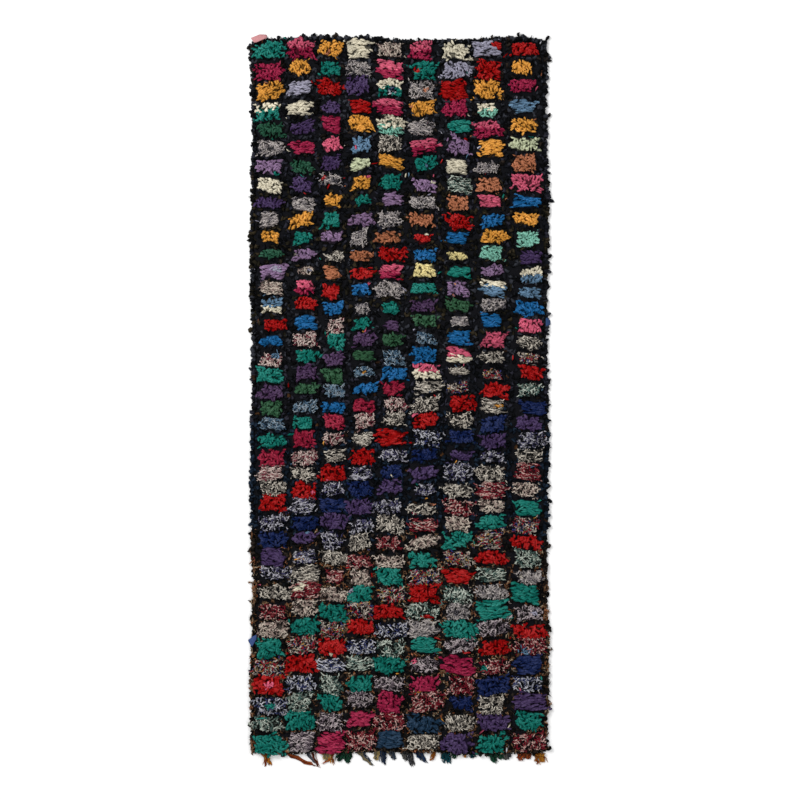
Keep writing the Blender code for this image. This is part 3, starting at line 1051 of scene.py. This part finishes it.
# %% Fringe
FRINGE_DYES = {
    "fringe_rust": (("#7E3418", 0.40), ("#A24E22", 0.35), ("#4A2012", 0.25)),
    "fringe_orange": (("#A8661C", 0.45), ("#C4862E", 0.25), ("#7A3E16", 0.30)),
    "fringe_straw": (("#A08A58", 0.40), ("#B8923E", 0.20), ("#6E6A5A", 0.40)),
    "fringe_green": (("#183C2C", 0.50), ("#27563E", 0.20), ("#0F1D18", 0.30)),
    "fringe_slate": (("#303A48", 0.40), ("#5A5E68", 0.25), ("#7A6E54", 0.35)),
    "fringe_navy": (("#18263E", 0.50), ("#243C60", 0.20), ("#3A3E42", 0.30)),
    "fringe_teal": (("#10404A", 0.50), ("#185A68", 0.20), ("#12262E", 0.30)),
    "fringe_grey": (("#3C3C40", 0.40), ("#5E5C58", 0.25), ("#222428", 0.35)),
    "fringe_tan": (("#6E6252", 0.26), ("#54483C", 0.30), ("#241F1B", 0.44)),
}
FRINGE_TUFTS = (
    ("dye", "first", "last", "lean", "bow", "reach", "strands", "width"),
    ("fringe_orange", -0.457, -0.450, 0.032, 0.004, 0.042, 2, 0.0110),
    ("fringe_rust", -0.448, -0.446, -0.006, 0.012, 0.042, 1, 0.0075),
    ("fringe_rust", -0.372, -0.370, 0.104, 0.006, 0.040, 2, 0.0085),
    ("fringe_rust", -0.290, -0.288, 0.034, -0.006, 0.042, 1, 0.0070),
    ("fringe_slate", -0.307, -0.303, 0.046, -0.006, 0.036, 2, 0.0065),
    ("fringe_straw", -0.256, -0.232, 0.002, 0.000, 0.026, 6, 0.0090),
    ("fringe_orange", -0.234, -0.230, 0.014, -0.002, 0.036, 2, 0.0070),
    ("fringe_rust", -0.219, -0.219, -0.024, 0.010, 0.038, 1, 0.0070),
    ("fringe_green", -0.203, -0.163, 0.000, 0.000, 0.032, 9, 0.0100),
    ("fringe_slate", -0.139, -0.124, 0.042, -0.004, 0.042, 4, 0.0095),
    ("fringe_straw", -0.080, -0.070, 0.001, 0.000, 0.028, 3, 0.0080),
    ("fringe_navy", -0.066, -0.048, 0.003, 0.000, 0.042, 4, 0.0090),
    ("fringe_slate", -0.044, -0.022, 0.014, 0.000, 0.026, 5, 0.0075),
    ("fringe_grey", 0.010, 0.042, 0.012, -0.003, 0.044, 6, 0.0090),
    ("fringe_navy", 0.050, 0.073, 0.020, 0.000, 0.034, 5, 0.0085),
    ("fringe_orange", 0.113, 0.116, -0.018, 0.002, 0.028, 2, 0.0075),
    ("fringe_teal", 0.140, 0.162, 0.010, -0.002, 0.038, 4, 0.0105),
    ("fringe_green", 0.174, 0.190, 0.003, 0.000, 0.016, 4, 0.0070),
    ("fringe_orange", 0.214, 0.217, 0.002, 0.000, 0.009, 2, 0.0060),
    ("fringe_teal", 0.234, 0.250, 0.000, 0.000, 0.010, 3, 0.0065),
    ("fringe_green", 0.293, 0.339, 0.010, 0.000, 0.030, 9, 0.0095),
    ("fringe_grey", 0.343, 0.371, 0.001, 0.000, 0.018, 7, 0.0075),
    ("fringe_rust", 0.395, 0.435, 0.002, 0.000, 0.019, 9, 0.0080),
    ("fringe_orange", 0.452, 0.475, 0.009, 0.002, 0.034, 4, 0.0095),
)
FRINGE_RINGS = ((0.0, 0.9), (0.14, 1.1), (0.30, 0.85), (0.46, 1.05), (0.62, 0.75), (0.78, 0.8), (0.92, 0.4))
FRINGE_WISPS = 3
CLUMP_WIDTH = 0.014
STRIP_RIGHT = 0.478
STRIP_GAP = 0.0003
STRIP_WIDTH = 0.008
STRIP_PITCH = 0.0060


def laid_yarns(root, middle, tip, width):
    """Yarns from arrays of body places."""
    points = np.stack([np.stack(end, axis=1) for end in (root, middle, tip)], axis=1)
    points = points + np.array((shift_x, shift_y, 0.0))
    return {"points": points, "width": width, "tint": rng.uniform(0, 1, len(width))}


def fringe_yarns():
    """The strands of each dye, gathered into a few frayed points on the floor, with thin wisps."""
    made = {name: [] for name in FRINGE_DYES}
    columns = FRINGE_TUFTS[0]
    for line in FRINGE_TUFTS[1:]:
        tuft = dict(zip(columns, line))
        clumps = max(1, round((tuft["last"] - tuft["first"]) / CLUMP_WIDTH))
        place = tuft["first"] + (tuft["last"] - tuft["first"]) * (np.arange(clumps) + 0.5) / clumps
        place = place + rng.normal(0, 0.003, clumps)
        depth = tuft["reach"] * rng.uniform(0.55, 1.0, clumps)
        depth[rng.integers(clumps)] = tuft["reach"]
        tilt = rng.normal(0, 0.005, clumps)
        for wisp in (False, True):
            count = tuft["strands"] * (FRINGE_WISPS if wisp else 1)
            x = np.linspace(tuft["first"], tuft["last"], count)
            x = x + rng.normal(0, 0.0025 if wisp else 0.001, count)
            edge = bottom_edge(x) - STRIP_GAP - STRIP_WIDTH
            own = abs(x[:, None] - place).argmin(axis=1)
            reach = depth[own] * (rng.uniform(0.45, 1.06, count) if wisp else rng.uniform(0.80, 0.98, count))
            lean = tuft["lean"] * reach / tuft["reach"] + rng.normal(0, 0.005 if wisp else 0.002, count)
            lean = lean + (place[own] - x) * (0.4 if wisp else 0.75) + tilt[own]
            bow = tuft["bow"] + rng.normal(0, 0.0035, count)
            width = tuft["width"] * rng.uniform(0.9, 1.4, count) * (0.36 if wisp else 1.0)
            made[tuft["dye"]].append(laid_yarns(
                (x, edge + 0.007, np.full(count, 0.006)),
                (x + lean * 0.5 + bow, edge - reach * 0.5, rng.uniform(0.003, 0.009, count)),
                (x + lean, edge - reach, rng.uniform(0.0015, 0.004, count)),
                width,
            ))
    return made


def strip_yarns():
    """Short yarns that twine along the bottom edge, each crossing its neighbour."""
    count = int((STRIP_RIGHT - STRIP_LEFT - 0.014) / STRIP_PITCH)
    x = STRIP_LEFT + 0.002 + STRIP_PITCH * np.arange(count) + rng.normal(0, 0.0008, count)
    high = bottom_edge(x) + 0.007
    low = bottom_edge(x) - STRIP_GAP - STRIP_WIDTH + 0.003
    down = np.arange(count) % 2 == 0
    first, last = np.where(down, high, low), np.where(down, low, high)
    return laid_yarns(
        (x, first, np.full(count, 0.003)),
        (x + 0.006, (first + last) / 2 + rng.normal(0, 0.001, count), rng.uniform(0.005, 0.008, count)),
        (x + 0.013, last, np.full(count, 0.0025)),
        rng.uniform(0.0042, 0.0058, count),
    )


bundles = fringe_yarns()
bundles["fringe_tan"].append(strip_yarns())
for name, bunches in bundles.items():
    yarns = {key: np.concatenate([bunch[key] for bunch in bunches]) for key in ("points", "width", "tint")}
    thing = spin(name, yarns, FRINGE_RINGS, 0.30, wool(name, stops_of(FRINGE_DYES[name]), 0.5))
    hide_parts("fringe_strip")

# %% [markdown]
# Three loose rag ends poke out of the rim. Each is a soft scrap of cotton, a thin closed sheet that
# slopes down from the pile with a slight ripple.

# %% Rag ends
RAG_DYES = {"corner_rag": "#A87476", "left_rag": "#283D6A", "right_rag": "#1A365E"}
RAG_TONE = {"tint": 0.70, "along": 0.80}
RAG_HEIGHTS = {
    "corner_rag": (0.024, 0.017, 0.009, 0.003),
    "left_rag": (0.020, 0.014, 0.007, 0.003),
    "right_rag": (0.015, 0.013, 0.007, 0.003),
}
RAG_EDGES = {
    "corner_rag": ((-0.30, -0.14), (-0.50, 0.48), (-0.24, 0.50), (0.04, 0.46)),
    "left_rag": ((0.16, 0.50), (-0.48, 0.32), (-0.30, 0.16), (-0.03, 0.05)),
    "right_rag": ((-0.44, 0.40), (-0.46, 0.44), (-0.40, 0.30), (-0.26, 0.10)),
}
RAG_TUCKS = {"corner_rag": 0.016, "left_rag": 0.015, "right_rag": 0.005}
RAG_ACROSS = 6
RAG_THICKNESS = 0.0015


def rag(name, dye):
    """A soft scrap in the place of its solid: wide where it leaves the pile, lopsided at its tip."""
    low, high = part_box(name)
    out_x, out_y = RAG_OUTWARD[name]
    reach = (high.y - low.y) if out_y else (high.x - low.x)
    broad = (high.x - low.x) if out_y else (high.y - low.y)
    middle = (low + high) / 2
    tuck = RAG_TUCKS[name]
    away = np.array((-tuck, 0.0, 0.5 * reach, reach)) - reach / 2
    points = []
    for (first, last), off, height in zip(RAG_EDGES[name], away, RAG_HEIGHTS[name]):
        for k in range(RAG_ACROSS + 1):
            side = broad * (first + (last - first) * k / RAG_ACROSS)
            z = height + 0.0014 * math.sin(5.0 * k / RAG_ACROSS + 90 * off)
            x = middle.x + out_x * off + abs(out_y) * side
            y = middle.y + out_y * off + abs(out_x) * side
            points.append((x, y, z))
    index = np.arange(len(points)).reshape(len(away), RAG_ACROSS + 1)
    a, b = index[:-1, :-1].ravel(), index[:-1, 1:].ravel()
    c, d = index[1:, 1:].ravel(), index[1:, :-1].ravel()
    faces = np.stack([a, b, c, d] if out_x < 0 or out_y > 0 else [a, d, c, b], 1)
    tone = {key: np.full(len(points), value) for key, value in RAG_TONE.items()}
    thing = mesh_of(name + "_cloth", np.array(points), faces, tone)
    thick = thing.modifiers.new("thickness", "SOLIDIFY")
    thick.thickness = RAG_THICKNESS
    thick.offset = 0
    thing.data.materials.append(wool(name, plain_stops(dye), marled=False))
    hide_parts(name)
    return thing


rags = [rag(name, dye) for name, dye in RAG_DYES.items()]
print(len(rags), "rag ends")

# %% [markdown]
# The ground cloth, out of which everything else grows, lies flat on a plain pale floor.

FLOOR_SIZE = 120.0
bm = bmesh.new()
bmesh.ops.create_grid(bm, x_segments=1, y_segments=1, size=FLOOR_SIZE / 2)
floor_mesh = bpy.data.meshes.new("floor")
bm.to_mesh(floor_mesh)
bm.free()
floor = bpy.data.objects.new("floor", floor_mesh)
bpy.context.collection.objects.link(floor)
paper = bpy.data.materials.new("pale_floor")
paper.use_nodes = True
paper.node_tree.nodes["Principled BSDF"].inputs["Base Color"].default_value = (0.86, 0.86, 0.86, 1)
paper.node_tree.nodes["Principled BSDF"].inputs["Roughness"].default_value = 0.95
floor_mesh.materials.append(paper)
